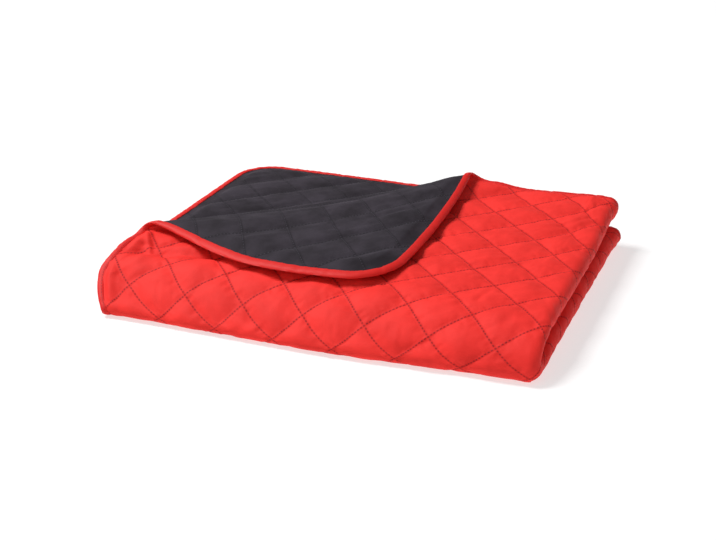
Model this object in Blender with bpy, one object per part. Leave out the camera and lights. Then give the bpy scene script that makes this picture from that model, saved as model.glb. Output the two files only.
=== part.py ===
"""Quilted bedspread, folded in half twice, with one top corner turned back.

The cloth is a thick red face with wadding, a black lining sewn under it, and a red
binding that wraps the raw edges. All three are mapped from one flat plan: column s
counts half diamonds across the cloth and row t counts half diamonds along it.
"""
import bmesh
import bpy
import numpy as np
from math import cos, pi, sin
from mathutils import Vector
from mathutils.geometry import delaunay_2d_cdt

# quilting: width and length of one diamond, metres
DIAMOND_W = 0.090
DIAMOND_L = 0.0884
HALF_W = DIAMOND_W / 2
HALF_L = DIAMOND_L / 2

# flat plan, in half diamonds: raw edges, the side fold between the two halves, the rows
# where the front fold begins and reaches the surface, and the part of the second layer
# that the turned corner lays bare
S_OUTER_EDGE = -11.16
S_FOLD_START = 2.9
S_FOLD_END = 3.9
S_INNER_EDGE = 17.96
T_BACK_EDGE = -1.55
T_SHOULDER = 8.0
T_FRONT_MIDDLE = 10.2
T_FOOT = 11.15
T_UNDER = 11.4
T_END_EDGE = 22.8
S_BARE = 11.5
T_BARE = 4.5
CORNER_RADIUS = 0.065

# section of the front fold, in diamond widths: row, outer half y and z, inner half y and z
FRONT_FOLD = (
    (7.5, 0.245, 0.706, 0.245, 0.517),
    (8.0, 0.000, 0.704, 0.000, 0.517),
    (8.5, -0.235, 0.690, -0.240, 0.512),
    (9.0, -0.462, 0.637, -0.450, 0.485),
    (9.5, -0.700, 0.545, -0.640, 0.435),
    (10.0, -0.915, 0.405, -0.775, 0.360),
    (10.5, -1.060, 0.240, -0.800, 0.280),
    (11.0, -1.110, 0.125, -0.700, 0.215),
    (11.4, -1.050, 0.083, -0.560, 0.205),
    (12.0, -0.720, 0.083, -0.300, 0.225),
    (12.6, -0.420, 0.083, -0.020, 0.245),
)
ROW_STEP = 0.491
INNER_ROW_STEP = 0.455
TOP_SLOPE = 0.010
INNER_TOP_SLOPE = 0.006
INNER_RISE = 0.042
INNER_RISE_ROWS = 1.2

# side fold: its middle and reach in half diamonds, then its bulge and spread in metres
S_FOLD_MIDDLE = 3.4
S_FOLD_REACH = 1.1
SIDE_FOLD_BULGE = 0.0115
SIDE_FOLD_SPREAD = 0.003
LOWER_FOLD_OUT = 0.0026
LOWER_FOLD_ROWS = (10.2, 10.9)
BACK_FOLD_LIFT = 0.0065
BACK_FOLD_IN = 0.0054
BACK_FOLD_ROWS = (3.5, -1.5)
BACK_FOLD_COLUMN = 2.4
BACK_FOLD_REACH = 2.5

# the top's stitch lines lean against the front edge, by this share of the way back
LATTICE_SKEW = 0.052
SKEW_COLUMNS = (2.9, 1.5)
SKEW_ROWS = (11.0, 10.8)

# how the stack settles, metres: layers two and three away from the side fold, the foot of
# the front at its left and at its right, and the foot of the left end
SECOND_LAYER_LIFT = 0.0100
SECOND_LAYER_ROWS = (9.3, 6.5)
THIRD_LAYER_LIFT = 0.004
THIRD_LAYER_ROWS = (12.5, 15.0)
AWAY_COLUMNS = (4.5, 9.0)
FOOT_FORWARD = 0.0153
FOOT_BACK = 0.0042
FOOT_COLUMNS = (2.9, -4.0)
FOOT_ROWS = (9.8, 11.2)
END_FOOT_IN = 0.0020
END_FOOT_ROWS = (9.5, 11.2)

# turned-back corner: fold line ends and its bow, radii, height, sag and slip of the free part
TURN_LEFT_Y = 0.2001 * DIAMOND_W
TURN_BACK_X = -0.7400 * DIAMOND_W
TURN_BOW = -0.2980 * DIAMOND_W
TURN_RADIUS_LEFT = 0.0108
TURN_RADIUS_BACK = 0.0164
TURN_RISE_LEFT = 0.0055
TURN_RISE_BACK = 0.0108
TURN_RISE_LEFT_SHARES = (0.6, 0.0)
TURN_RISE_BACK_SHARES = (0.4, 1.0)
TURN_RISE_REACH = 0.030
TURN_REST = 0.0170
TURN_SETTLE = 0.15
TURN_SAG = 0.004
TURN_SAG_REACH = 0.035
TURN_SAG_FROM = 0.036
TURN_SAG_OVER = 0.060
TURN_SLIP = 0.6959 * DIAMOND_W
TURN_SLIP_AT = 0.1145
TURN_SLIP_SHARE = 0.35
TURN_SLIP_REACH = 0.10
T_TURN_END = 8.6

# rulings round the roll, as shares of its half turn, and the room kept beside it
ROLL_RULINGS = (-0.05, 0.17, 0.39, 0.61, 0.83, 1.05)
ROLL_STATION = 0.038
ROLL_MARGIN = 0.0126
ROLL_FADE = 0.0315

# cloth thicknesses
FACE_STITCHED = 0.0038
FACE_PUFFED = 0.0072
FACE_HIDDEN = 0.0055
FACE_IN_ROLL = 0.0045
FACE_AT_EDGE = 0.0020
LINING = 0.0012
LINING_PUFF = 0.0014
PLY_GAP = 0.0002
EDGE_SHIFT = 0.0037
EDGE_SHIFT_REACH = 0.030

# shape of the quilting: how fast a pillow rises, and how the foot and the nose press it flat
PUFF_POWER = 0.6
FOOT_PRESS = 0.85
FOOT_PRESS_ROWS = 0.45
T_NOSE = 10.6
NOSE_ROWS = 1.6
NOSE_COLUMNS = (3.0, 3.5)

# binding
BINDING_WIDTH = 0.012
BINDING_SIDE = 0.0011
BINDING_TIP = 0.0022
BINDING_ROUNDING = 0.0008
BINDING_GAP = 0.00045
CLOTH_INSET = 0.0038
SEAM_INSET = 0.0132

FACE_RED = (0.855, 0.036, 0.042)
BINDING_RED = (0.680, 0.022, 0.030)
LINING_BLACK = (0.028, 0.025, 0.028)


def clear_scene():
    for item in list(bpy.data.objects):
        bpy.data.objects.remove(item)


def fabric(name, colour, roughness, sheen):
    made = bpy.data.materials.new(name)
    made.use_nodes = True
    shader = made.node_tree.nodes["Principled BSDF"]
    shader.inputs["Base Color"].default_value = (*colour, 1.0)
    shader.inputs["Roughness"].default_value = roughness
    shader.inputs["Sheen Weight"].default_value = sheen
    return made


def smooth(value, start, end):
    """0 at start and 1 at end, which may lie either way, with a soft change between."""
    share = np.clip((value - start) / (end - start), 0, 1)
    return share * share * (3 - 2 * share)


def hump(value, middle_at, reach):
    return np.exp(-(((value - middle_at) / reach) ** 2))


def fold_section(t):
    """y and z of the outer and the inner half of the cloth at row t."""
    table = np.array(FRONT_FOLD)
    rows = table[:, 0]
    at = np.clip(t, rows[1], rows[-2])
    k = np.clip(np.searchsorted(rows, at, side="right") - 1, 1, len(rows) - 3)
    step = (rows[k + 1] - rows[k])[..., None]
    u = (at - rows[k])[..., None] / step
    before = (table[k + 1, 1:] - table[k - 1, 1:]) / (rows[k + 1] - rows[k - 1])[..., None]
    after = (table[k + 2, 1:] - table[k, 1:]) / (rows[k + 2] - rows[k])[..., None]
    curve = (2 * u**3 - 3 * u**2 + 1) * table[k, 1:] + (3 * u**2 - 2 * u**3) * table[k + 1, 1:]
    curve = curve + (u**3 - 2 * u**2 + u) * step * before + (u**3 - u**2) * step * after
    above = np.clip(rows[1] - t, 0, None)
    below = np.clip(t - rows[-2], 0, None)
    outer_y = curve[..., 0] + (above + below) * ROW_STEP
    outer_z = curve[..., 1] + above * ROW_STEP * TOP_SLOPE
    inner_y = curve[..., 2] + above * ROW_STEP + below * INNER_ROW_STEP
    inner_z = curve[..., 3] + above * ROW_STEP * INNER_TOP_SLOPE
    inner_z = inner_z + INNER_RISE * (1 - np.exp(-below / INNER_RISE_ROWS))
    return [DIAMOND_W * part for part in (outer_y, outer_z, inner_y, inner_z)]


def turn_line():
    """Start, length, direction and normal of the line on which the corner turns back."""
    start = np.array([S_OUTER_EDGE * HALF_W, TURN_LEFT_Y])
    end = np.array([TURN_BACK_X, fold_section(np.array([T_BACK_EDGE]))[0][0]])
    length = float(np.hypot(*(end - start)))
    along = (end - start) / length
    return start, length, along, np.array([-along[1], along[0]])


def turn_radius(share):
    return TURN_RADIUS_LEFT + (TURN_RADIUS_BACK - TURN_RADIUS_LEFT) * np.clip(share, 0, 1.1) ** 3


def turn_place(x, y):
    """Share along the turning line, and distance past it towards the corner."""
    start, length, along, across = turn_line()
    share = ((x - start[0]) * along[0] + (y - start[1]) * along[1]) / length
    past = (x - start[0]) * across[0] + (y - start[1]) * across[1]
    bow = TURN_BOW * 4 * share * (1 - share) * (share > -0.2)
    return share, past - bow


def turn_back(x, y, z, edge, allowed):
    """Rolls the back left corner of the top layer over towards the front right."""
    across = turn_line()[3]
    share, past = turn_place(x, y)
    radius = turn_radius(share)
    angle = np.clip(past / radius, 0, pi)
    free = np.clip(past - pi * radius, 0, None)
    new_past = np.where(free > 0, -free, radius * np.sin(angle))
    settled = TURN_REST + (2 * radius - TURN_REST) * np.exp(-((free / TURN_SETTLE) ** 2))
    lift = np.where(free > 0, settled, radius * (1 - np.cos(angle)))
    rise = TURN_RISE_LEFT * smooth(share, *TURN_RISE_LEFT_SHARES)
    rise = rise + TURN_RISE_BACK * smooth(share, *TURN_RISE_BACK_SHARES)
    rise = rise * np.where(past < 0, hump(past, 0, TURN_RISE_REACH), np.cos(angle / 2) ** 2)
    sag = np.clip(1 - edge / TURN_SAG_REACH, 0, 1) ** 2
    sag = sag * np.clip((past - TURN_SAG_FROM) / TURN_SAG_OVER, 0, 1)
    slip = TURN_SLIP * hump(share, TURN_SLIP_AT, TURN_SLIP_SHARE) * (1 - hump(free, 0, TURN_SLIP_REACH))
    turned = allowed & (past > 0)
    x = np.where(turned, x + (new_past - past) * across[0], x)
    y = np.where(turned, y + (new_past - past) * across[1] - slip, y)
    z = np.where(turned, z + lift - TURN_SAG * sag, z)
    return x, y, np.where(allowed, z + rise, z)


def middle(s, t):
    """The seam between face and lining, before quilting, for plan position s, t."""
    outer_y, outer_z, inner_y, inner_z = fold_section(t)
    angle = np.clip((s - S_FOLD_START) / (S_FOLD_END - S_FOLD_START), 0, 1) * pi
    inner = (1 - np.cos(angle)) / 2
    near_fold = hump(s, S_FOLD_MIDDLE, S_FOLD_REACH)
    x = (np.minimum(s, S_FOLD_START) - np.maximum(s, S_FOLD_END) + S_FOLD_END) * HALF_W
    x = x + SIDE_FOLD_BULGE * np.sin(angle)
    at_back = smooth(t, *BACK_FOLD_ROWS)
    x = x + near_fold * (LOWER_FOLD_OUT * smooth(t, *LOWER_FOLD_ROWS) - BACK_FOLD_IN * at_back)
    y = outer_y * (1 - inner) + inner_y * inner
    z = outer_z * (1 - inner) + inner_z * inner
    x = x + LATTICE_SKEW * smooth(s, *SKEW_COLUMNS) * smooth(t, *SKEW_ROWS) * np.clip(y, -0.1, 1)
    spread = SIDE_FOLD_SPREAD * np.clip(np.abs(t - T_FRONT_MIDDLE) / 1.5, 0, 1)
    z = z + near_fold * inner * np.where(t < T_FRONT_MIDDLE, -spread, spread)

    away = smooth(s, *AWAY_COLUMNS)
    z = z + away * SECOND_LAYER_LIFT * smooth(t, *SECOND_LAYER_ROWS)
    z = z + away * THIRD_LAYER_LIFT * smooth(t, *THIRD_LAYER_ROWS)
    leftwards = smooth(s, *FOOT_COLUMNS)
    forward = FOOT_FORWARD * leftwards - FOOT_BACK * (1 - leftwards)
    y = y - forward * (1 - inner) * smooth(t, *FOOT_ROWS)
    x = x + END_FOOT_IN * np.clip(S_FOLD_START - s, 0, None) * smooth(t, *END_FOOT_ROWS)
    z = z + BACK_FOLD_LIFT * hump(s, BACK_FOLD_COLUMN, BACK_FOLD_REACH) * at_back
    on_top = (s < S_FOLD_START) & (t < T_TURN_END)
    x, y, z = turn_back(x, y, z, edge_distance(s, t), on_top)
    return np.stack([x, y, z], -1)


def normals(s, t):
    """Unit normals towards the red face."""
    step = 0.02
    across = middle(s + step, t) - middle(s - step, t)
    along = middle(s, t + step) - middle(s, t - step)
    normal = np.cross(along, across)
    return normal / np.linalg.norm(normal, axis=-1, keepdims=True)


def edge_distance(s, t):
    """Distance to the nearest raw edge, measured in the flat cloth."""
    sides = np.minimum(s - S_OUTER_EDGE, S_INNER_EDGE - s) * HALF_W
    ends = np.minimum(t - T_BACK_EDGE, T_END_EDGE - t) * HALF_L
    out_s = CORNER_RADIUS - sides
    out_t = CORNER_RADIUS - ends
    rounded = (out_s > 0) & (out_t > 0)
    return np.where(rounded, CORNER_RADIUS - np.hypot(out_s, out_t), np.minimum(sides, ends))


def tight_nose(s, t):
    """1 inside the narrow front turn of the inner half, 0 elsewhere."""
    inside = np.clip((s - NOSE_COLUMNS[0]) / (NOSE_COLUMNS[1] - NOSE_COLUMNS[0]), 0, 1)
    return inside * np.clip(NOSE_ROWS - np.abs(t - T_NOSE), 0, 1)


def quilted(s, t):
    """True where the quilting shows: the top, the front and the inner back corner."""
    outer = (s < S_FOLD_END) & (t < T_UNDER)
    return outer | ((s > S_BARE) & (t < T_BARE))


def puff(s, t):
    """0 on the stitch lines, 1 in the middle of a diamond, less where the foot is pressed."""
    first = np.abs(np.sin(pi * (s + t) / 2))
    second = np.abs(np.sin(pi * (s - t) / 2))
    pressed = FOOT_PRESS * hump(t, T_FOOT, FOOT_PRESS_ROWS)
    return (first * second) ** PUFF_POWER * quilted(s, t) * (1 - pressed)


def flat_place(s, t):
    """x and y on the flat top layer, used to find the turning line."""
    y = fold_section(t)[0]
    return s * HALF_W + LATTICE_SKEW * np.clip(y, -0.1, 1), y


def roll_share(s, t):
    """1 on the roll of the turned corner, fading to 0 beside it."""
    share, past = turn_place(*flat_place(s, t))
    beside = np.maximum(-past, past - pi * turn_radius(share))
    near = np.clip(1 - beside / ROLL_FADE, 0, 1)
    return near * (s < S_FOLD_START) * (t < T_TURN_END)


def surface(s, t, offset):
    """Points at a signed offset from the seam, which runs mid-cloth at the raw edges."""
    near_edge = np.clip(1 - edge_distance(s, t) / EDGE_SHIFT_REACH, 0, 1)
    shift = EDGE_SHIFT * near_edge**0.5 * (1 - tight_nose(s, t)) * (1 - roll_share(s, t))
    depth = offset + shift - LINING_PUFF * puff(s, t) * (1 - near_edge)
    return middle(s, t) + normals(s, t) * depth[..., None]


def face_thickness(s, t):
    """Thickness of the face with its wadding."""
    quilt = FACE_STITCHED + (FACE_PUFFED + LINING_PUFF - FACE_STITCHED) * puff(s, t)
    thick = np.where(quilted(s, t), quilt, FACE_HIDDEN)
    pressed = np.maximum(roll_share(s, t), tight_nose(s, t))
    thick = thick + (FACE_IN_ROLL - thick) * pressed
    return np.where(edge_distance(s, t) < SEAM_INSET + 0.0008, FACE_AT_EDGE, thick)


def fold_columns():
    """Columns that divide the side fold into four equal turns."""
    return [S_FOLD_START + (S_FOLD_END - S_FOLD_START) * k / 4 for k in range(5)]


def bend_rows():
    """Rows between the whole ones, where the front fold bends most."""
    return [8.5, 9.5, 10.5, T_UNDER]


def roll_crossings(inset, low, high, on_side):
    """Places along an edge, moved in by inset, where the roll begins, bends and ends."""
    trial = np.linspace(low, high, 2000)
    if on_side:
        fixed = np.full_like(trial, S_OUTER_EDGE + inset / HALF_W)
        share, past = turn_place(*flat_place(fixed, trial))
    else:
        fixed = np.full_like(trial, T_BACK_EDGE + inset / HALF_L)
        share, past = turn_place(*flat_place(trial, fixed))
    level = past / (pi * turn_radius(share))
    order = np.argsort(level)
    return [float(np.interp(wanted, level[order], trial[order])) for wanted in ROLL_RULINGS]


def with_roll(regular, inset, low, high, on_side):
    """Edge divisions with those near the roll replaced by the roll's own."""
    outer = roll_crossings(0.0, low, high, on_side)
    inner = roll_crossings(SEAM_INSET, low, high, on_side)
    first = min(outer + inner) - 0.3
    last = max(outer + inner) + 0.3
    return [v for v in regular if not first < v < last] + roll_crossings(inset, low, high, on_side)


def between(values, low, high):
    """Values in order that lie inside a straight stretch of edge, clear of its ends."""
    return sorted(v for v in values if low + 0.25 < v < high - 0.25)


def corner(s, t, quarter, radius):
    """Five points round a quarter circle, starting at the given quarter turn."""
    angles = [pi / 2 * (quarter + k / 4) for k in range(5)]
    return [(s + radius * cos(a) / HALF_W, t + radius * sin(a) / HALF_L) for a in angles]


def outline(inset):
    """The cloth's outline in plan, moved in by inset, as (s, t) points in order."""
    reach_s = CORNER_RADIUS / HALF_W
    reach_t = CORNER_RADIUS / HALF_L
    left, right = S_OUTER_EDGE + reach_s, S_INNER_EDGE - reach_s
    near, far = T_BACK_EDGE + reach_t, T_END_EDGE - reach_t
    rows = list(range(0, 22)) + bend_rows()
    columns = list(range(-10, 3)) + fold_columns() + list(range(5, 17))
    side = between(with_roll(rows, inset, T_BACK_EDGE, T_SHOULDER, True), near, far)
    back = between(with_roll(columns, inset, S_OUTER_EDGE, S_FOLD_START, False), left, right)
    end = between(list(range(-9, 2, 2)) + fold_columns() + list(range(6, 17, 2)), left, right)
    radius = CORNER_RADIUS - inset
    points = [(S_OUTER_EDGE + inset / HALF_W, t) for t in reversed(side)]
    points += corner(left, near, 2, radius)
    points += [(s, T_BACK_EDGE + inset / HALF_L) for s in back]
    points += corner(right, near, 3, radius)
    points += [(S_INNER_EDGE - inset / HALF_W, t) for t in between(rows, near, far)]
    points += corner(right, far, 0, radius)
    points += [(s, T_END_EDGE - inset / HALF_L) for s in reversed(end)]
    points += corner(left, far, 1, radius)
    return np.array(points)


def lattice_points():
    """Inner points of the plan: quilting crossings and middles, and the folds."""
    points = []
    for t in range(-1, 23):
        for s in range(-10, 18):
            even = s % 2 == 0 and (t % 2 == 0 or T_SHOULDER <= t <= 12)
            if not 2 < s < 5 and (quilted(s, t) or even):
                points.append((s, t))
    for t in (8.5, 9.5, 10.5):
        points += [(s + 0.5, t) for s in range(-11, 2)]
        points += [(s, t) for s in range(5, 18, 2)]
    points += [(s, T_UNDER) for s in range(-10, 3)]
    rows = [t for t in range(-1, 23) if t < 13 or t % 2 == 0] + bend_rows()
    points += [(s, t) for t in rows for s in fold_columns()]
    array = np.array(points, float)
    share, past = turn_place(*flat_place(array[:, 0], array[:, 1]))
    turn = pi * turn_radius(share)
    on_top = (array[:, 0] < S_FOLD_START) & (array[:, 1] < T_TURN_END)
    first = ROLL_RULINGS[0] * turn - ROLL_MARGIN
    last = ROLL_RULINGS[-1] * turn + ROLL_MARGIN
    return array[~(on_top & (past > first) & (past < last))]


def roll_grid():
    """Points on the roll: along the turning line, then round it."""
    start, length, along, across = turn_line()
    share = np.linspace(0.0, 1.0, round(length / ROLL_STATION))[:, None]
    past = TURN_BOW * 4 * share * (1 - share) + np.array(ROLL_RULINGS) * pi * turn_radius(share)
    x = start[0] + along[0] * share * length + across[0] * past
    y = start[1] + along[1] * share * length + across[1] * past
    t = T_SHOULDER - y / (ROW_STEP * DIAMOND_W)
    return np.stack([(x - LATTICE_SKEW * y) / HALF_W, t], -1)


def plan_key(point):
    return round(float(point[0]), 3), round(float(point[1]), 3)


def roll_edges(index, roll):
    """Plan edges along and across the roll."""
    edges = []
    for i in range(roll.shape[0]):
        for j in range(roll.shape[1]):
            for other in ((i + 1, j), (i, j + 1)):
                if other[0] < roll.shape[0] and other[1] < roll.shape[1]:
                    ends = [index.get(plan_key(roll[i, j])), index.get(plan_key(roll[other]))]
                    if None not in ends:
                        edges.append(tuple(ends))
    return edges


def stitch_edges(index):
    """Plan edges along the stitch lines, between neighbouring points on them."""
    edges = []
    for (s, t), k in index.items():
        if s % 1 or t % 1 or (s + t) % 2 or not quilted(s, t):
            continue
        for turn in (-1, 1):
            half = index.get((s + 0.5 * turn, t + 0.5))
            whole = index.get((s + turn, t + 1.0))
            if whole is not None and half is not None:
                edges += [(k, half), (half, whole)]
            elif whole is not None and not T_SHOULDER <= t < T_UNDER:
                edges.append((k, whole))
    return edges


def plan_mesh():
    """Plan points and triangles of the whole cloth; its outline comes first."""
    edge = outline(CLOTH_INSET)
    seam = outline(SEAM_INSET)
    roll = roll_grid()
    inner = np.vstack([lattice_points(), roll.reshape(-1, 2)])
    inner = inner[edge_distance(inner[:, 0], inner[:, 1]) > SEAM_INSET + 0.010]
    points = np.vstack([edge, seam, inner])
    n = len(edge)
    lines = []
    for k in range(n):
        following = (k + 1) % n
        lines += [(k, following), (n + k, n + following), (k, n + k), (k, n + following)]
    index = {plan_key(points[k]): k for k in range(2 * n, len(points))}
    lines += stitch_edges(index) + roll_edges(index, roll)
    flat = [Vector((s * HALF_W, t * HALF_L)) for s, t in points]
    verts, _, faces, *_ = delaunay_2d_cdt(flat, lines, [], 0, 1e-6)
    plan = np.array([(v[0] / HALF_W, v[1] / HALF_L) for v in verts])
    return plan, [tuple(face) for face in faces], n


def finish_body(name, body, material):
    bmesh.ops.recalc_face_normals(body, faces=body.faces[:])
    for face in body.faces:
        face.smooth = True
    mesh = bpy.data.meshes.new(name)
    body.to_mesh(mesh)
    body.free()
    made = bpy.data.objects.new(name, mesh)
    made.data.materials.append(material)
    bpy.context.collection.objects.link(made)
    return made


def closed_sheet(name, plan_faces, ring, upper, lower, material):
    """A closed body between two surfaces over the same plan."""
    count = len(upper)
    body = bmesh.new()
    corners = [body.verts.new(p) for p in np.vstack([upper, lower])]
    for a, b, c in plan_faces:
        body.faces.new((corners[a], corners[b], corners[c]))
        body.faces.new((corners[c + count], corners[b + count], corners[a + count]))
    for k in range(ring):
        m = (k + 1) % ring
        body.faces.new((corners[k], corners[m], corners[m + count]))
        body.faces.new((corners[k], corners[m + count], corners[k + count]))
    return finish_body(name, body, material)


def face_panel(plan, faces, ring):
    """Red microfibre face with its wadding; it lies flat on the surface underneath."""
    s, t = plan[:, 0], plan[:, 1]
    inner = surface(s, t, np.full(len(plan), PLY_GAP))
    outer = surface(s, t, face_thickness(s, t))
    under = (s < S_FOLD_START + 0.1) & (t > T_UNDER - 0.1)
    under = under & (edge_distance(s, t) > SEAM_INSET + 0.005)
    outer[under, 2] = 0.0
    outer[:, 2] = np.maximum(outer[:, 2], 0.0)
    return closed_sheet("face", faces, ring, outer, inner, fabric("red microfibre", FACE_RED, 0.75, 0.3))


def lining_panel(plan, faces, ring):
    """Black lining, on the inside of the fold and on top of the turned corner."""
    s, t = plan[:, 0], plan[:, 1]
    upper = surface(s, t, np.full(len(plan), -PLY_GAP))
    lower = surface(s, t, np.full(len(plan), -PLY_GAP - LINING))
    return closed_sheet("lining", faces, ring, upper, lower, fabric("black lining", LINING_BLACK, 0.8, 0.2))


def binding_profile():
    """Section of the binding: distance in from its outer fold, and offset from the seam."""
    top = FACE_AT_EDGE + BINDING_GAP
    bottom = -PLY_GAP - LINING - BINDING_GAP
    return (
        (BINDING_WIDTH, top),
        (BINDING_WIDTH, top + BINDING_SIDE),
        (BINDING_ROUNDING, top + BINDING_SIDE),
        (0.0, (top + bottom) / 2),
        (BINDING_ROUNDING, bottom - BINDING_SIDE),
        (BINDING_WIDTH, bottom - BINDING_SIDE),
        (BINDING_WIDTH, bottom),
        (BINDING_TIP, bottom),
        (BINDING_TIP, top),
    )


def edge_binding():
    """Red strip folded over the raw edge and sewn through, all the way round."""
    body = bmesh.new()
    profile = binding_profile()
    rings = []
    for inset, offset in profile:
        line = outline(inset)
        points = surface(line[:, 0], line[:, 1], np.full(len(line), offset))
        points[:, 2] = np.maximum(points[:, 2], 0.0)
        rings.append([body.verts.new(p) for p in points])
    count = len(rings[0])
    for j, ring in enumerate(rings):
        following = (j + 1) % len(rings)
        other = rings[following]
        inwards = profile[j][0] <= profile[following][0]
        for k in range(count):
            m = (k + 1) % count
            if inwards:
                body.faces.new((ring[k], ring[m], other[m]))
                body.faces.new((ring[k], other[m], other[k]))
            else:
                body.faces.new((ring[k], ring[m], other[k]))
                body.faces.new((ring[m], other[m], other[k]))
    return finish_body("binding", body, fabric("red binding", BINDING_RED, 0.55, 0.1))


def centre(pieces):
    """Puts the middle of the whole footprint at the origin."""
    points = np.array([v.co for piece in pieces for v in piece.data.vertices])
    low = points.min(axis=0)
    high = points.max(axis=0)
    move = Vector((-(low[0] + high[0]) / 2, -(low[1] + high[1]) / 2, -low[2]))
    for piece in pieces:
        for vertex in piece.data.vertices:
            vertex.co += move


def build():
    clear_scene()
    plan, faces, ring = plan_mesh()
    centre([face_panel(plan, faces, ring), lining_panel(plan, faces, ring), edge_binding()])


build()
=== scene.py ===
from math import pi, radians

import bpy
import numpy as np
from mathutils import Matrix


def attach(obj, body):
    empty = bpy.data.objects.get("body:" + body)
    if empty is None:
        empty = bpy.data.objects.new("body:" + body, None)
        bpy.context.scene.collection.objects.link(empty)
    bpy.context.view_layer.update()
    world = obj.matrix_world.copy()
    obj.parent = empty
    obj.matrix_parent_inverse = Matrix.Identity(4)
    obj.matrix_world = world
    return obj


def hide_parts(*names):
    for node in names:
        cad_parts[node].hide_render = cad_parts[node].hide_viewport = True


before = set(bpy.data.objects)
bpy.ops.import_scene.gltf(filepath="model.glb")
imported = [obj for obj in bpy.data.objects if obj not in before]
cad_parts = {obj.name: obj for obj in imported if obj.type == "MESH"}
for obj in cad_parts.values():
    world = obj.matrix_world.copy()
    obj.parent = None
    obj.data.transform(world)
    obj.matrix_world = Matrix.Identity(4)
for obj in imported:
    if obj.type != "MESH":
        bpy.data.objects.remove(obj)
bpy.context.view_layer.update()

# Surface, light and camera
# A white matt paper sweep under a large soft light high at the left, with a weak one in
# front and another at the right. The camera stands at the front right and looks down.


def linear(hex_colour):
    """sRGB hex to linear RGBA."""
    parts = [int(hex_colour[k:k + 2], 16) / 255 for k in (1, 3, 5)]
    bent = [p / 12.92 if p <= 0.04045 else ((p + 0.055) / 1.055) ** 2.4 for p in parts]
    return (*bent, 1.0)


def add_node(tree, kind, settings=(), links=()):
    """Adds a node; settings are (socket or attribute, value), links are (socket, output)."""
    made = tree.nodes.new(kind)
    for name, value in settings:
        if isinstance(name, str) and hasattr(made, name):
            setattr(made, name, value)
        else:
            made.inputs[name].default_value = value
    for name, source in links:
        tree.links.new(source, made.inputs[name])
    return made


def new_material(name, **settings):
    """A material with its Principled shader's own values set, its node tree and shader."""
    made = bpy.data.materials.new(name)
    made.use_nodes = True
    shader = made.node_tree.nodes["Principled BSDF"]
    for key, value in settings.items():
        shader.inputs[key.replace("_", " ")].default_value = value
    return made, made.node_tree, shader


sweep_mesh = bpy.data.meshes.new("studio_sweep")
sweep_mesh.from_pydata([(-9, -9, 0), (9, -9, 0), (9, 14, 0), (-9, 14, 0)], [], [(0, 1, 2, 3)])
sweep = bpy.data.objects.new("studio_sweep", sweep_mesh)
bpy.context.collection.objects.link(sweep)
# matt paper, lit through from below a little, so the contact shadow stays faint
paper = new_material("matt white paper", Base_Color=linear("#ACACAC"), Roughness=0.9,
                     Emission_Color=linear("#FFFFFF"), Emission_Strength=0.62)[0]
sweep_mesh.materials.append(paper)

world = bpy.data.worlds.new("soft studio light")
world.use_nodes = True
world.node_tree.nodes["Background"].inputs["Color"].default_value = (1.0, 1.0, 1.0, 1.0)
world.node_tree.nodes["Background"].inputs["Strength"].default_value = 0.24
bpy.context.scene.world = world

for light_name, place, turn, size, power in (
    ("key_softbox", (-4.3, 0.2, 6.5), (33.5, 0, -92.7), 2.6, 620),
    ("fill_softbox", (-1.4, -3.2, 1.6), (64.0, 0, -24.0), 1.5, 18),
    ("side_softbox", (3.4, -1.2, 0.7), (79.0, 0, 70.6), 1.5, 10),
):
    lamp = bpy.data.lights.new(light_name, "AREA")
    lamp.shape = "SQUARE"
    lamp.size = size
    lamp.energy = power
    softbox = bpy.data.objects.new(light_name, lamp)
    softbox.location = place
    softbox.rotation_euler = [radians(angle) for angle in turn]
    bpy.context.collection.objects.link(softbox)

camera_data = bpy.data.cameras.new("camera")
camera_data.lens = 65.36
camera_data.sensor_width = 36.0
camera = bpy.data.objects.new("camera", camera_data)
camera.location = (0.6523, -1.6756, 0.7825)
camera.rotation_euler = (radians(66.8), 0.0, radians(21.8))
bpy.context.collection.objects.link(camera)
bpy.context.scene.camera = camera
bpy.context.scene.view_settings.view_transform = "Standard"

# Face panel
# Red brushed microfibre over thin polyester wadding, sewn through to the lining in
# diamonds. It is folded in half to the left and then to the back, so it shows on the
# outside, and its back left corner is turned over towards the front.

# the flat cloth: columns s count half diamonds across, rows t count half diamonds along
DIAMOND_W, DIAMOND_L = 0.090, 0.0884
HALF_W, HALF_L = DIAMOND_W / 2, DIAMOND_L / 2
LEFT, FOLD_START, FOLD_END, RIGHT = -11.16, 2.9, 3.9, 17.96
BACK, SHOULDER, FRONT, FOOT, UNDER, END = -1.55, 8.0, 10.2, 11.15, 11.4, 22.8
BARE_S = 11.5
CORNER = 0.065
# brings the middle of the packet's footprint to the frame's origin
ORIGIN = np.array([0.176838, -0.150570, 0.0])

# distances along the cloth from row to row past the ends of the table below, and its slopes
ROW_STEP, INNER_ROW_STEP = 0.491, 0.455
TOP_SLOPE, INNER_TOP_SLOPE = 0.010, 0.006
INNER_RISE, INNER_RISE_ROWS = 0.042, 1.2

# section of the front fold, in diamond widths: row, outer half y and z, inner half y and z
FRONT_FOLD = np.array((
    (7.5, 0.245, 0.706, 0.245, 0.517),
    (8.0, 0.000, 0.704, 0.000, 0.517),
    (8.5, -0.235, 0.690, -0.240, 0.512),
    (9.0, -0.462, 0.637, -0.450, 0.485),
    (9.5, -0.700, 0.545, -0.640, 0.435),
    (10.0, -0.915, 0.405, -0.775, 0.360),
    (10.5, -1.060, 0.240, -0.800, 0.280),
    (11.0, -1.110, 0.125, -0.700, 0.215),
    (11.4, -1.050, 0.083, -0.560, 0.205),
    (12.0, -0.720, 0.083, -0.300, 0.225),
    (12.6, -0.420, 0.083, -0.020, 0.245),
))


def smooth(value, start, end):
    """0 at start and 1 at end, which may lie either way, with a soft change between."""
    share = np.clip((value - start) / (end - start), 0, 1)
    return share * share * (3 - 2 * share)


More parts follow.
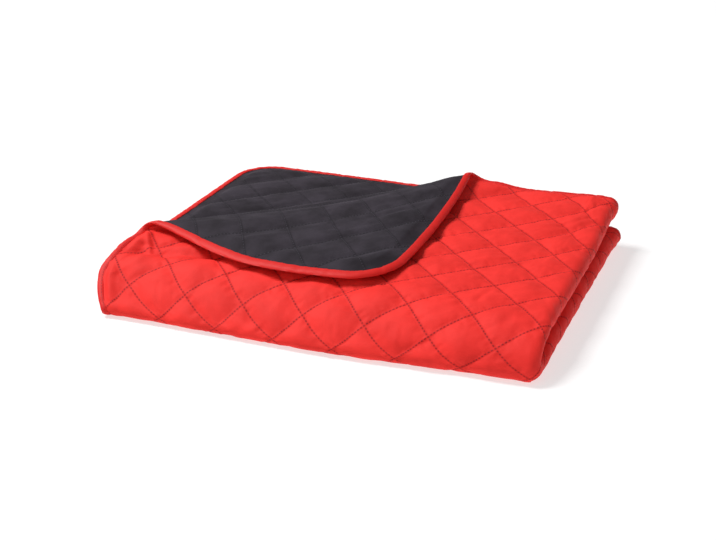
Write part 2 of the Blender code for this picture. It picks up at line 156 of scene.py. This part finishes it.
def hump(value, middle_at, reach):
    return np.exp(-(((value - middle_at) / reach) ** 2))


def fold_section(t):
    """y and z of the outer and the inner half at row t."""
    rows, table = FRONT_FOLD[:, 0], FRONT_FOLD[:, 1:]
    at = np.clip(t, rows[1], rows[-2])
    k = np.clip(np.searchsorted(rows, at, side="right") - 1, 1, len(rows) - 3)
    step = (rows[k + 1] - rows[k])[..., None]
    u = (at - rows[k])[..., None] / step
    before = (table[k + 1] - table[k - 1]) / (rows[k + 1] - rows[k - 1])[..., None]
    after = (table[k + 2] - table[k]) / (rows[k + 2] - rows[k])[..., None]
    curve = (2 * u**3 - 3 * u**2 + 1) * table[k] + (3 * u**2 - 2 * u**3) * table[k + 1]
    curve = curve + (u**3 - 2 * u**2 + u) * step * before + (u**3 - u**2) * step * after
    above = np.clip(rows[1] - t, 0, None)
    below = np.clip(t - rows[-2], 0, None)
    outer_y = curve[..., 0] + (above + below) * ROW_STEP
    outer_z = curve[..., 1] + above * ROW_STEP * TOP_SLOPE
    inner_y = curve[..., 2] + above * ROW_STEP + below * INNER_ROW_STEP
    inner_z = curve[..., 3] + above * ROW_STEP * INNER_TOP_SLOPE
    inner_z = inner_z + INNER_RISE * (1 - np.exp(-below / INNER_RISE_ROWS))
    return [DIAMOND_W * part for part in (outer_y, outer_z, inner_y, inner_z)]


# the line on which the corner turns back
TURN_START = np.array([LEFT * HALF_W, 0.2001 * DIAMOND_W])
TURN_END = np.array([-0.7400 * DIAMOND_W, fold_section(np.array([BACK]))[0][0]])
TURN_LENGTH = float(np.hypot(*(TURN_END - TURN_START)))
TURN_ALONG = (TURN_END - TURN_START) / TURN_LENGTH
TURN_ACROSS = np.array([-TURN_ALONG[1], TURN_ALONG[0]])
TURN_BOW = -0.2980 * DIAMOND_W
# height at which the turned corner settles, its lift at both ends of the line, its slip
TURN_REST = 0.0170
TURN_RISE_LEFT, TURN_RISE_PEAK = 0.0055, 0.0108
TURN_SLIP, TURN_SAG = 0.6959 * DIAMOND_W, 0.004
# the top's stitch lines lean against the front edge, by this share of the way back
LATTICE_SKEW = 0.052


def turn_radius(share):
    return 0.0108 + 0.0056 * np.clip(share, 0, 1.1) ** 3


def turn_place(x, y):
    """Share along the turning line, and distance past it towards the corner."""
    off_x, off_y = x - TURN_START[0], y - TURN_START[1]
    share = (off_x * TURN_ALONG[0] + off_y * TURN_ALONG[1]) / TURN_LENGTH
    past = off_x * TURN_ACROSS[0] + off_y * TURN_ACROSS[1]
    return share, past - TURN_BOW * 4 * share * (1 - share) * (share > -0.2)


def turn_back(x, y, z, edge, allowed):
    """Rolls the back left corner of the top layer over towards the front right."""
    share, past = turn_place(x, y)
    radius = turn_radius(share)
    angle = np.clip(past / radius, 0, pi)
    free = np.clip(past - pi * radius, 0, None)
    new_past = np.where(free > 0, -free, radius * np.sin(angle))
    settled = TURN_REST + (2 * radius - TURN_REST) * np.exp(-((free / 0.15) ** 2))
    lift = np.where(free > 0, settled, radius * (1 - np.cos(angle)))
    rise = TURN_RISE_LEFT * smooth(share, 0.6, 0.0) + TURN_RISE_PEAK * smooth(share, 0.4, 1.0)
    rise = rise * np.where(past < 0, hump(past, 0, 0.030), np.cos(angle / 2) ** 2)
    sag = np.clip(1 - edge / 0.035, 0, 1) ** 2 * np.clip((past - 0.036) / 0.060, 0, 1)
    slip = TURN_SLIP * hump(share, 0.1145, 0.35) * (1 - hump(free, 0, 0.10))
    turned = allowed & (past > 0)
    x = np.where(turned, x + (new_past - past) * TURN_ACROSS[0], x)
    y = np.where(turned, y + (new_past - past) * TURN_ACROSS[1] - slip, y)
    z = np.where(turned, z + lift - TURN_SAG * sag, z)
    return x, y, np.where(allowed, z + rise, z)


# the side fold: middle and reach in half diamonds, then bulge and spread in metres
FOLD_MIDDLE, FOLD_REACH = 3.4, 1.1
FOLD_BULGE, FOLD_SPREAD = 0.0115, 0.003
LOWER_FOLD_OUT, BACK_FOLD_IN, BACK_FOLD_LIFT = 0.0026, 0.0054, 0.0065
# how the front edge comes forward at its left and right, and how the hidden layers lie
LEFT_FORWARD, RIGHT_BACK = 0.0153, 0.0042
INNER_LIFT, UNDER_LIFT, LEFT_SPLAY = 0.0100, 0.004, 0.0020


def middle(s, t):
    """The seam between face and lining, before quilting, for plan position s, t."""
    outer_y, outer_z, inner_y, inner_z = fold_section(t)
    angle = np.clip((s - FOLD_START) / (FOLD_END - FOLD_START), 0, 1) * pi
    inner = (1 - np.cos(angle)) / 2
    near_fold = hump(s, FOLD_MIDDLE, FOLD_REACH)
    at_back = smooth(t, 3.5, -1.5)
    x = (np.minimum(s, FOLD_START) - np.maximum(s, FOLD_END) + FOLD_END) * HALF_W
    x = x + FOLD_BULGE * np.sin(angle)
    lower = smooth(t, 10.2, 10.9)
    x = x + near_fold * (LOWER_FOLD_OUT * lower - BACK_FOLD_IN * at_back)
    y = outer_y * (1 - inner) + inner_y * inner
    z = outer_z * (1 - inner) + inner_z * inner
    skewed = smooth(s, 2.9, 1.5) * smooth(t, 11.8, 10.2)
    x = x + LATTICE_SKEW * skewed * np.clip(y, -0.1, 1)
    spread = FOLD_SPREAD * np.clip(np.abs(t - FRONT) / 1.5, 0, 1)
    z = z + near_fold * inner * np.where(t < FRONT, -spread, spread)

    away = smooth(s, 4.5, 9.0)
    z = z + away * (INNER_LIFT * smooth(t, 9.3, 6.5) + UNDER_LIFT * smooth(t, 12.5, 15.0))
    leftwards = smooth(s, 2.9, -4.0)
    forward = LEFT_FORWARD * leftwards - RIGHT_BACK * (1 - leftwards)
    y = y - forward * (1 - inner) * smooth(t, 9.8, 11.2)
    x = x + LEFT_SPLAY * np.clip(FOLD_START - s, 0, None) * smooth(t, 9.5, 11.2)
    z = z + BACK_FOLD_LIFT * hump(s, 2.4, 2.5) * at_back
    x, y, z = turn_back(x, y, z, edge_distance(s, t), (s < FOLD_START) & (t < 8.6))
    return np.stack([x, y, z], -1)


def normals(s, t):
    """Unit normals towards the red face."""
    step = 0.02
    across = middle(s + step, t) - middle(s - step, t)
    along = middle(s, t + step) - middle(s, t - step)
    normal = np.cross(along, across)
    return normal / np.linalg.norm(normal, axis=-1, keepdims=True)


def edge_distance(s, t):
    """Distance to the nearest raw edge, measured in the flat cloth."""
    sides = np.minimum(s - LEFT, RIGHT - s) * HALF_W
    ends = np.minimum(t - BACK, END - t) * HALF_L
    out_s, out_t = CORNER - sides, CORNER - ends
    rounded = (out_s > 0) & (out_t > 0)
    return np.where(rounded, CORNER - np.hypot(out_s, out_t), np.minimum(sides, ends))


def puff(s, t):
    """0 on the stitch lines, 1 in the middle of a diamond, less where the foot is pressed."""
    first = np.abs(np.sin(pi * (s + t) / 2))
    second = np.abs(np.sin(pi * (s - t) / 2))
    pressed = (1 - 0.85 * hump(t, FOOT, 0.45)) * (1 - 0.7 * hump(s, 3.4, 0.9))
    return (first * second) ** 0.75 * pressed


def roll_share(s, t):
    """1 on the roll of the turned corner, fading to 0 beside it."""
    y = fold_section(t)[0]
    share, past = turn_place(s * HALF_W + LATTICE_SKEW * np.clip(y, -0.1, 1), y)
    beside = np.maximum(-past, past - pi * turn_radius(share))
    return np.clip(1 - beside / 0.0315, 0, 1) * (s < FOLD_START) * (t < 8.6)


def tight_nose(s, t):
    """1 inside the narrow front turn of the inner half."""
    return np.clip((s - 3.0) / 0.5, 0, 1) * np.clip(1.6 - np.abs(t - 10.6), 0, 1)


# main creases through both cloths: from s, t to s, t, half width and rise in metres
CREASES = (
    (-10.9, 8.3, -9.2, 7.6, 0.0050, -0.0030),
    (-10.8, 7.3, -10.0, 8.5, 0.0040, 0.0036),
    (-10.7, 9.4, -10.1, 8.3, 0.0060, -0.0014),
    (-11.2, 8.70, -5.6, 7.50, 0.0125, -0.0095),
    (0.90, 8.5, 1.05, 7.2, 0.0050, -0.0016),
)


def creases(s, t):
    """Rise of the listed creases, each fading towards both its ends."""
    total = np.zeros(s.shape)
    for s0, t0, s1, t1, width, rise in CREASES:
        x0, y0, x1, y1 = s0 * HALF_W, t0 * HALF_L, s1 * HALF_W, t1 * HALF_L
        length = np.hypot(x1 - x0, y1 - y0)
        run = ((s * HALF_W - x0) * (x1 - x0) + (t * HALF_L - y0) * (y1 - y0)) / length**2
        off = ((s * HALF_W - x0) * (y1 - y0) - (t * HALF_L - y0) * (x1 - x0)) / length
        total = total + rise * hump(off, 0, width) * smooth(4 * run * (1 - run), 0.0, 0.7)
    return total


# the cloth is pressed thin in a band along its raw edges; the seam sinks under each pillow
EDGE_BAND, EDGE_SHIFT, SEAM_SINK = 0.030, 0.0037, 0.0014


def surface(s, t, offset):
    """Points at a signed offset from the seam, which lies mid-cloth at the raw edges."""
    near_edge = np.clip(1 - edge_distance(s, t) / EDGE_BAND, 0, 1)
    shift = EDGE_SHIFT * near_edge**0.5 * (1 - tight_nose(s, t)) * (1 - roll_share(s, t))
    depth = offset + shift - SEAM_SINK * puff(s, t) * (1 - near_edge) + creases(s, t)
    return middle(s, t) + normals(s, t) * depth[..., None] + ORIGIN


def smooth_noise(x, y, seed):
    """Value noise of about -1 to 1, one cell per unit."""
    table = np.random.default_rng(seed).uniform(-1, 1, (64, 64))
    xi, yi = np.floor(x).astype(int), np.floor(y).astype(int)
    u, v = x - xi, y - yi
    u, v = u * u * (3 - 2 * u), v * v * (3 - 2 * v)
    low = table[xi % 64, yi % 64] * (1 - u) + table[(xi + 1) % 64, yi % 64] * u
    high = table[xi % 64, (yi + 1) % 64] * (1 - u) + table[(xi + 1) % 64, (yi + 1) % 64] * u
    return low * (1 - v) + high * v


SIDE = float(np.hypot(HALF_W, HALF_L))
PUCKER_REACH = 0.0035
PUCKER_LENGTH = 0.0048


def puckers(s, t, seed):
    """Small gathers square to the stitch lines, -1 to 1, strongest just beside them."""
    total = 0
    for line, run in (((s + t) / 2, (s - t) / 2), ((s - t) / 2, (s + t) / 2)):
        off = (line - np.round(line)) * SIDE
        away = np.abs(off) / PUCKER_REACH
        own = np.round(line) * 2 + 0.6 * np.sign(off)
        gather = smooth_noise(run * SIDE / PUCKER_LENGTH, own, seed)
        total = total + gather * away * np.exp(1 - away)
    return total


def pulls(s, t, seed):
    """Long soft creases side by side, -1 to 1, that run with the shallow stitch lines."""
    across = np.where(s < FOLD_START, s + t, s - t) / 2 * SIDE
    along = np.where(s < FOLD_START, s - t, s + t) / 2 * SIDE
    patch = 0.5 + 0.5 * smooth_noise(across / 0.055, along / 0.130, seed + 1)
    return patch * smooth_noise(across / 0.010, along / 0.070, seed)


# the red cloth and its wadding: thickness in a seam, swell of a pillow, thickness at an edge
FACE_SEAM, FACE_SWELL, FACE_EDGE, FACE_PRESSED = 0.0028, 0.0066, 0.0020, 0.0045


def face_height(s, t):
    """Thickness of the red face over the seam, with its pillows and small creases."""
    pillow = puff(s, t)
    a, b = s * HALF_W, t * HALF_L
    thick = FACE_SEAM + FACE_SWELL * pillow
    thick = thick + 0.0010 * pillow * smooth_noise(a / 0.024, b / 0.020, 3)
    patch = 0.5 + 0.5 * smooth_noise(a / 0.040, b / 0.045, 6)
    thick = thick + 0.0008 * pillow * patch * smooth_noise(a / 0.0060, b / 0.020, 5)
    thick = thick + 0.0012 * puckers(s, t, 7) + 0.0009 * pulls(s, t, 9)
    pressed = np.maximum(roll_share(s, t), tight_nose(s, t))
    thick = thick + (FACE_PRESSED - thick) * pressed
    return FACE_EDGE + (thick - FACE_EDGE) * smooth(edge_distance(s, t), 0.012, 0.022)


def cloth_mesh(name, s, t, points, flip):
    """A grid of quads with the flat cloth as its UV map, in metres."""
    count_t, count_s = s.shape
    mesh = bpy.data.meshes.new(name)
    index = np.arange(count_t * count_s).reshape(count_t, count_s)
    quads = np.stack([index[:-1, :-1], index[1:, :-1], index[1:, 1:], index[:-1, 1:]], -1)
    quads = quads.reshape(-1, 4)
    if flip:
        quads = quads[:, ::-1]
    mesh.from_pydata(points.reshape(-1, 3).tolist(), [], quads.tolist())
    plan = np.stack([s * HALF_W, t * HALF_L], -1).reshape(-1, 2)
    uv = mesh.uv_layers.new(name="flat_cloth")
    loops = np.empty(len(mesh.loops), dtype=np.int32)
    mesh.loops.foreach_get("vertex_index", loops)
    uv.data.foreach_set("uv", plan[loops].astype(np.float32).ravel())
    mesh.polygons.foreach_set("use_smooth", [True] * len(mesh.polygons))
    made = bpy.data.objects.new(name, mesh)
    bpy.context.collection.objects.link(made)
    return made


def to_rounded(s, t, inset):
    """Draws the plan grid's four corners in to the rounded outline, moved in by inset."""
    x, y = s * HALF_W, t * HALF_L
    left, right = LEFT * HALF_W + inset, RIGHT * HALF_W - inset
    near, far = BACK * HALF_L + inset, END * HALF_L - inset
    radius = CORNER - inset
    for cx, sign_x in ((left + radius, -1), (right - radius, 1)):
        for cy, sign_y in ((near + radius, -1), (far - radius, 1)):
            out_x, out_y = (x - cx) * sign_x, (y - cy) * sign_y
            inside = (out_x > 0) & (out_y > 0)
            length = np.hypot(out_x, out_y) + 1e-12
            share = np.where(inside, np.maximum(out_x, out_y) / length, 1.0)
            x = np.where(inside, cx + sign_x * out_x * share, x)
            y = np.where(inside, cy + sign_y * out_y * share, y)
    return x / HALF_W, y / HALF_L


CLOTH_INSET = 0.004


def plan_grid(column_counts, row_counts):
    """Columns and rows over the whole cloth, closer together where it shows or bends."""
    inset_s, inset_t = CLOTH_INSET / HALF_W, CLOTH_INSET / HALF_L
    sides = (LEFT + inset_s, FOLD_START, FOLD_END, BARE_S, RIGHT - inset_s)
    ends = (BACK + inset_t, SHOULDER, UNDER + 0.4, END - inset_t)
    places = []
    for stops, counts in ((sides, column_counts), (ends, row_counts)):
        parts = [np.linspace(a, b, n, endpoint=False) for a, b, n in zip(stops, stops[1:], counts)]
        places.append(np.append(np.concatenate(parts), stops[-1]))
    s, t = np.meshgrid(*places)
    return to_rounded(s, t, CLOTH_INSET)


def stitch_pattern(tree, pitch, width, length):
    """Outputs: distance to the nearest stitch line in metres, and a mask of the stitches."""
    plan = add_node(tree, "ShaderNodeUVMap", [("uv_map", "flat_cloth")])
    parts = add_node(tree, "ShaderNodeSeparateXYZ", links=[(0, plan.outputs[0])])
    across = add_node(tree, "ShaderNodeMath", [("operation", "DIVIDE"), (1, DIAMOND_W)],
                      [(0, parts.outputs["X"])])
    along = add_node(tree, "ShaderNodeMath", [("operation", "DIVIDE"), (1, DIAMOND_L)],
                     [(0, parts.outputs["Y"])])
    rising = add_node(tree, "ShaderNodeMath", [("operation", "ADD")],
                      [(0, across.outputs[0]), (1, along.outputs[0])])
    falling = add_node(tree, "ShaderNodeMath", [("operation", "SUBTRACT")],
                       [(0, across.outputs[0]), (1, along.outputs[0])])
    distances, masks = [], []
    for line, run in ((rising, falling), (falling, rising)):
        off = add_node(tree, "ShaderNodeMath", [("operation", "PINGPONG"), (1, 0.5)],
                       [(0, line.outputs[0])])
        away = add_node(tree, "ShaderNodeMath", [("operation", "MULTIPLY"), (1, SIDE)],
                        [(0, off.outputs[0])])
        turns = add_node(tree, "ShaderNodeMath",
                         [("operation", "MULTIPLY"), (1, round(SIDE / pitch))],
                         [(0, run.outputs[0])])
        beat = add_node(tree, "ShaderNodeMath", [("operation", "PINGPONG"), (1, 0.5)],
                        [(0, turns.outputs[0])])
        thin = add_node(tree, "ShaderNodeMapRange",
                        [("interpolation_type", "SMOOTHSTEP"), ("From Min", width * 0.35),
                         ("From Max", width * 0.75), ("To Min", 1.0), ("To Max", 0.0)],
                        [("Value", away.outputs[0])])
        share = length / pitch / 2
        dash = add_node(tree, "ShaderNodeMapRange",
                        [("interpolation_type", "SMOOTHSTEP"), ("From Min", share - 0.08),
                         ("From Max", share + 0.08), ("To Min", 1.0), ("To Max", 0.0)],
                        [("Value", beat.outputs[0])])
        mask = add_node(tree, "ShaderNodeMath", [("operation", "MULTIPLY")],
                        [(0, thin.outputs[0]), (1, dash.outputs[0])])
        distances.append(away)
        masks.append(mask)
    nearest = add_node(tree, "ShaderNodeMath", [("operation", "MINIMUM")],
                       [(0, distances[0].outputs[0]), (1, distances[1].outputs[0])])
    either = add_node(tree, "ShaderNodeMath", [("operation", "MAXIMUM")],
                      [(0, masks[0].outputs[0]), (1, masks[1].outputs[0])])
    return plan, nearest, either


def quilted_cloth(name, base, deep, seam_shade_and_pressed_tone, thread_and_hole_shade, stitch, pile, **finish):
    """Cloth sewn in diamonds, darker in the seams from pressed pile and painted shade, with gathers
    beside the stitches.
    """
    made, tree, shader = new_material(name, **finish)
    plan, nearest, stitches = stitch_pattern(tree, *stitch)
    # handling leaves the pile lying in soft patches about 60 mm across
    mottle = add_node(tree, "ShaderNodeTexNoise",
                      [("Scale", 1 / 0.060), ("Detail", 4.0), ("Roughness", 0.6)],
                      [("Vector", plan.outputs[0])])
    patches = add_node(tree, "ShaderNodeMapRange", [("From Min", 0.36), ("From Max", 0.64)],
                       [("Value", mottle.outputs["Fac"])])
    tone = add_node(tree, "ShaderNodeMix",
                    [("data_type", "RGBA"), (6, linear(deep)), (7, linear(base))],
                    [(0, patches.outputs[0])])
    # the seam's valley dips 3.5 mm to each side; for 3.2 mm the colour darkens towards the seam tone,
    # partly the pressed pile and partly painted shade in the valley
    valley = add_node(tree, "ShaderNodeMapRange",
                      [("interpolation_type", "SMOOTHSTEP"), ("From Max", 0.0035)],
                      [("Value", nearest.outputs[0])])
    pressed = add_node(tree, "ShaderNodeMapRange",
                       [("interpolation_type", "SMOOTHSTEP"), ("From Max", 0.0032), ("To Min", 0.7),
                        ("To Max", 0.0)], [("Value", nearest.outputs[0])])
    shaded = add_node(tree, "ShaderNodeMix", [("data_type", "RGBA"), (7, linear(seam_shade_and_pressed_tone))],
                      [(0, pressed.outputs[0]), (6, tone.outputs[2])])
    # the stitches take the thread colour; on the red face it is darker than the thread, as painted shade
    # in the stitch holes
    sewn = add_node(tree, "ShaderNodeMix", [("data_type", "RGBA"), (7, linear(thread_and_hole_shade))],
                    [(0, stitches.outputs[0]), (6, shaded.outputs[2])])
    tree.links.new(sewn.outputs[2], shader.inputs["Base Color"])
    dips = add_node(tree, "ShaderNodeMath", [("operation", "SUBTRACT")],
                    [(0, valley.outputs[0]), (1, stitches.outputs[0])])
    seam_bump = add_node(tree, "ShaderNodeBump", [("Strength", 0.6), ("Distance", 0.0007)],
                         [("Height", dips.outputs[0])])
    # gathers about 9 mm long that fade to a third within 20 mm of the seam
    near = add_node(tree, "ShaderNodeMapRange",
                    [("interpolation_type", "SMOOTHSTEP"), ("From Max", 0.020),
                     ("To Min", 1.0), ("To Max", 0.3)], [("Value", nearest.outputs[0])])
    folds = add_node(tree, "ShaderNodeTexNoise",
                     [("Scale", 1 / 0.009), ("Detail", 2.0), ("Distortion", 0.6)],
                     [("Vector", plan.outputs[0])])
    pucker = add_node(tree, "ShaderNodeMath", [("operation", "MULTIPLY")],
                      [(0, folds.outputs["Fac"]), (1, near.outputs[0])])
    pucker_bump = add_node(tree, "ShaderNodeBump", [("Strength", 0.45), ("Distance", 0.0014)],
                           [("Height", pucker.outputs[0]), ("Normal", seam_bump.outputs[0])])
    fibre = add_node(tree, "ShaderNodeTexNoise", [("Scale", 1 / pile), ("Detail", 2.0)],
                     [("Vector", plan.outputs[0])])
    fibre_bump = add_node(tree, "ShaderNodeBump", [("Strength", 0.3), ("Distance", 0.0003)],
                          [("Height", fibre.outputs["Fac"]), ("Normal", pucker_bump.outputs[0])])
    tree.links.new(fibre_bump.outputs[0], shader.inputs["Normal"])
    return made


# stitches: 13 to a diamond's side, so 4.85 mm apart. The thread is really about 0.4 mm thick
# and is drawn about 1.5 mm thick, because it would be under half a pixel in the picture
STITCH_PITCH = SIDE / 13
FACE_STITCH = (STITCH_PITCH, 0.0014, 0.0023)
# the brushed fibres are about 0.1 mm, too fine to show, so they are drawn 0.8 mm across
FACE_PILE = 0.0008
SURFACE_Z = 0.0002

face_s, face_t = plan_grid((230, 24, 36, 49), (160, 70, 44))
face_points = surface(face_s, face_t, face_height(face_s, face_t))
under = smooth(face_t, 11.2, 11.6) * (face_s < FOLD_START + 0.1)
inside = smooth(edge_distance(face_s, face_t), 0.016, 0.030)
# the underside lies flat on the surface
face_points[..., 2] = np.maximum(face_points[..., 2] * (1 - under * inside), SURFACE_Z)
face = cloth_mesh("quilted_face", face_s, face_t, face_points, True)
# matt brushed microfibre: soft, no gloss, a thin red sheen where it turns away
face.data.materials.append(quilted_cloth(
    # its seam tone is the pressed pile darkened with painted shade in the seam valleys
    "brushed red microfibre", base="#F4312B", deep="#E42A24", seam_shade_and_pressed_tone="#CC201D",
    # its stitch colour is the red thread darkened with painted shade in the stitch holes
    thread_and_hole_shade="#98151A", stitch=FACE_STITCH, pile=FACE_PILE,
    Roughness=0.7, Sheen_Weight=0.08, Sheen_Roughness=0.4, Sheen_Tint=linear("#FF6A5C"),
    Specular_IOR_Level=0.22))
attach(face, "root")
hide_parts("face")

# Lining panel
# Black plain-weave cloth, the bedspread's other side. The same stitches hold it, so it
# swells a little less than the face, and it shows on the turned-back corner.


# the lining: thickness in a seam, swell between the shallow seams, swell of a diamond
LINING_SEAM, LINING_SWELL, LINING_PUFF = 0.0006, 0.0030, 0.0008
LINING_EDGE, LINING_PRESSED = 0.0009, 0.0014
# its thread lies flatter, and is drawn about 1 mm thick; its weave is about 0.3 mm, too fine
# to show, and is drawn 1.1 mm across
LINING_STITCH = (STITCH_PITCH, 0.0009, 0.0020)
LINING_WEAVE = 0.0011


def lining_drop(s, t):
    """How far the lining's outer side lies from the seam, with its creases."""
    shallow = np.abs(np.sin(pi * np.where(s < FOLD_START, s + t, s - t) / 2)) ** 0.5
    drop = LINING_SEAM + LINING_SWELL * shallow + LINING_PUFF * puff(s, t)
    drop = drop + 0.0007 * puckers(s, t, 21) + 0.0022 * pulls(s, t, 23)
    calm = np.maximum(roll_share(s, t), tight_nose(s, t))
    drop = drop + (LINING_PRESSED - drop) * calm * 0.7
    return -(LINING_EDGE + (drop - LINING_EDGE) * smooth(edge_distance(s, t), 0.014, 0.040))


lining_s, lining_t = plan_grid((190, 24, 30, 80), (160, 40, 40))
lining_points = surface(lining_s, lining_t, lining_drop(lining_s, lining_t))
lining = cloth_mesh("black_lining", lining_s, lining_t, lining_points, False)
# dull plain weave: no gloss, a faint grey bloom where it turns away
lining.data.materials.append(quilted_cloth(
    # its seam tone is the pressed weave darkened with painted shade in the seam valleys
    "plain-weave black lining", base="#38323A", deep="#252026", seam_shade_and_pressed_tone="#19161A",
    thread_and_hole_shade="#413C46", stitch=LINING_STITCH, pile=LINING_WEAVE,
    Roughness=0.85, Sheen_Weight=0.16, Sheen_Roughness=0.3, Sheen_Tint=linear("#B8B0BC"),
    Specular_IOR_Level=0.2))
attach(lining, "root")
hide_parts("lining")

# Binding
# Red woven tape folded over the raw edge of both cloths and sewn through near its
# inner fold. It pulls the thick cloth thin and puckers slightly along the seam.

POINTS_PER_METRE = 240


def edge_line(inset):
    """Plan points round the whole edge, moved in by inset, closely spaced."""
    reach_s, reach_t = CORNER / HALF_W, CORNER / HALF_L
    side = int((END - BACK) * HALF_L * POINTS_PER_METRE)
    end = int((RIGHT - LEFT) * HALF_W * POINTS_PER_METRE)
    down = np.linspace(END - reach_t, BACK + reach_t, side)
    over = np.linspace(LEFT + reach_s, RIGHT - reach_s, end)
    quarter = np.linspace(0, pi / 2, 26)[1:-1]
    radius = CORNER - inset
    left, right = LEFT + reach_s, RIGHT - reach_s
    near, far = BACK + reach_t, END - reach_t
    strip = []
    # each straight edge, then the centre and first angle of the corner that follows it
    for run_s, run_t, cs, ct, first in (
        (np.full(side, LEFT + inset / HALF_W), down, left, near, pi),
        (over, np.full(end, BACK + inset / HALF_L), right, near, 1.5 * pi),
        (np.full(side, RIGHT - inset / HALF_W), down[::-1], right, far, 0.0),
        (over[::-1], np.full(end, END - inset / HALF_L), left, far, 0.5 * pi),
    ):
        straight = np.stack([run_s, run_t], -1)
        angle = first + quarter
        bend = [cs + radius * np.cos(angle) / HALF_W, ct + radius * np.sin(angle) / HALF_L]
        strip += [straight, np.stack(bend, -1)]
    return np.concatenate(strip)


BINDING_PROFILE = (
    # distance in from the edge, height from the seam
    (0.0112, 0.0014),
    (0.0109, 0.0020),
    (0.0101, 0.0024),
    (0.0080, 0.0027),
    (0.0054, 0.0027),
    (0.0031, 0.0023),
    (0.0013, 0.0015),
    (0.0003, 0.0006),
    (0.0000, 0.0001),
    (0.0003, -0.0006),
    (0.0013, -0.0015),
    (0.0031, -0.0023),
    (0.0056, -0.0027),
    (0.0088, -0.0027),
    (0.0110, -0.0024),
    (0.0119, -0.0019),
    (0.0122, -0.0011),
)
# gathers of the tape: 4.8 mm long along its seam, and slow waves of 26 mm
TAPE_GATHER, TAPE_WAVE = 0.0006, 0.0002
TAPE_STITCH = 0.0046

rings = []
for inset, height in BINDING_PROFILE:
    line = edge_line(inset)
    run = np.arange(len(line)) / POINTS_PER_METRE
    gather = TAPE_GATHER * smooth_noise(run / 0.0048, np.full(len(run), height * 400), 11)
    gather = gather + TAPE_WAVE * smooth_noise(run / 0.026, np.full(len(run), 7.5), 12)
    lifted = np.full(len(line), height) + gather * np.sign(height)
    rings.append(surface(line[:, 0], line[:, 1], lifted))
rings = np.array(rings)
rings[..., 2] = np.maximum(rings[..., 2], 0.0003)
count_p, count_r = rings.shape[:2]
binding_mesh = bpy.data.meshes.new("red_binding")
index = np.arange(count_p * count_r).reshape(count_p, count_r)
following = np.roll(index, -1, axis=1)
quads = np.stack([index[:-1], following[:-1], following[1:], index[1:]], -1).reshape(-1, 4)
quads = quads[:, ::-1]
binding_mesh.from_pydata(rings.reshape(-1, 3).tolist(), [], quads.tolist())
binding_mesh.polygons.foreach_set("use_smooth", [True] * len(binding_mesh.polygons))
tape_uv = binding_mesh.uv_layers.new(name="tape")
run = np.tile(np.arange(count_r) / POINTS_PER_METRE, (count_p, 1))
width = np.cumsum([0] + [float(np.hypot(b[0] - a[0], b[1] - a[1]))
                         for a, b in zip(BINDING_PROFILE[:-1], BINDING_PROFILE[1:])])
place = np.stack([run, np.tile(width[:, None], (1, count_r))], -1)
beside = np.roll(place, -1, axis=1)
corners = np.stack([place[:-1], beside[:-1], beside[1:], place[1:]], 2)
corners[:, -1, 1:3, 0] = count_r / POINTS_PER_METRE
tape_uv.data.foreach_set("uv", corners.reshape(-1, 4, 2)[:, ::-1].astype(np.float32).ravel())
binding = bpy.data.objects.new("red_binding", binding_mesh)
bpy.context.collection.objects.link(binding)

# smooth woven polyester: a soft highlight along its rounded fold
tape, tape_tree, tape_shader = new_material(
    "red woven polyester tape", Roughness=0.55, Sheen_Weight=0.0, Specular_IOR_Level=0.25)
tape_plan = add_node(tape_tree, "ShaderNodeUVMap", [("uv_map", "tape")])
tape_parts = add_node(tape_tree, "ShaderNodeSeparateXYZ", links=[(0, tape_plan.outputs[0])])
tape_beat = add_node(tape_tree, "ShaderNodeMath", [("operation", "MULTIPLY"), (1, 1 / TAPE_STITCH)],
                     [(0, tape_parts.outputs["X"])])
tape_beat = add_node(tape_tree, "ShaderNodeMath", [("operation", "PINGPONG"), (1, 0.5)],
                     [(0, tape_beat.outputs[0])])
tape_dash = add_node(tape_tree, "ShaderNodeMapRange",
                     [("interpolation_type", "SMOOTHSTEP"), ("From Min", 0.24), ("From Max", 0.36),
                      ("To Min", 1.0), ("To Max", 0.0)], [("Value", tape_beat.outputs[0])])
# the seam, about 3 mm from the tape's inner fold on the red side. Its thread is really
# about 0.4 mm thick and is drawn 1 mm thick so that it shows
seam_off = add_node(tape_tree, "ShaderNodeMath", [("operation", "SUBTRACT"), (1, 0.0038)],
                    [(0, tape_parts.outputs["Y"])])
seam_off = add_node(tape_tree, "ShaderNodeMath", [("operation", "ABSOLUTE")], [(0, seam_off.outputs[0])])
seam_line = add_node(tape_tree, "ShaderNodeMapRange",
                     [("interpolation_type", "SMOOTHSTEP"), ("From Min", 0.0003), ("From Max", 0.0007),
                      ("To Min", 1.0), ("To Max", 0.0)], [("Value", seam_off.outputs[0])])
tape_stitch = add_node(tape_tree, "ShaderNodeMath", [("operation", "MULTIPLY")],
                       [(0, tape_dash.outputs[0]), (1, seam_line.outputs[0])])
tape_colour = add_node(tape_tree, "ShaderNodeMix",
                       [("data_type", "RGBA"), (6, linear("#D91F1B")), (7, linear("#A81218"))],
                       [(0, tape_stitch.outputs[0])])
tape_tree.links.new(tape_colour.outputs[2], tape_shader.inputs["Base Color"])
# ribs across the tape, 1.2 mm apart; finer ones wouldn't show
ribs = add_node(tape_tree, "ShaderNodeTexWave", [("Scale", 2 * pi / 0.0012 / 20), ("Distortion", 0.4)],
                [("Vector", tape_plan.outputs[0])])
rib_bump = add_node(tape_tree, "ShaderNodeBump", [("Strength", 0.25), ("Distance", 0.0003)],
                    [("Height", ribs.outputs["Fac"])])
tape_tree.links.new(rib_bump.outputs[0], tape_shader.inputs["Normal"])
binding_mesh.materials.append(tape)
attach(binding, "root")
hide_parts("binding")
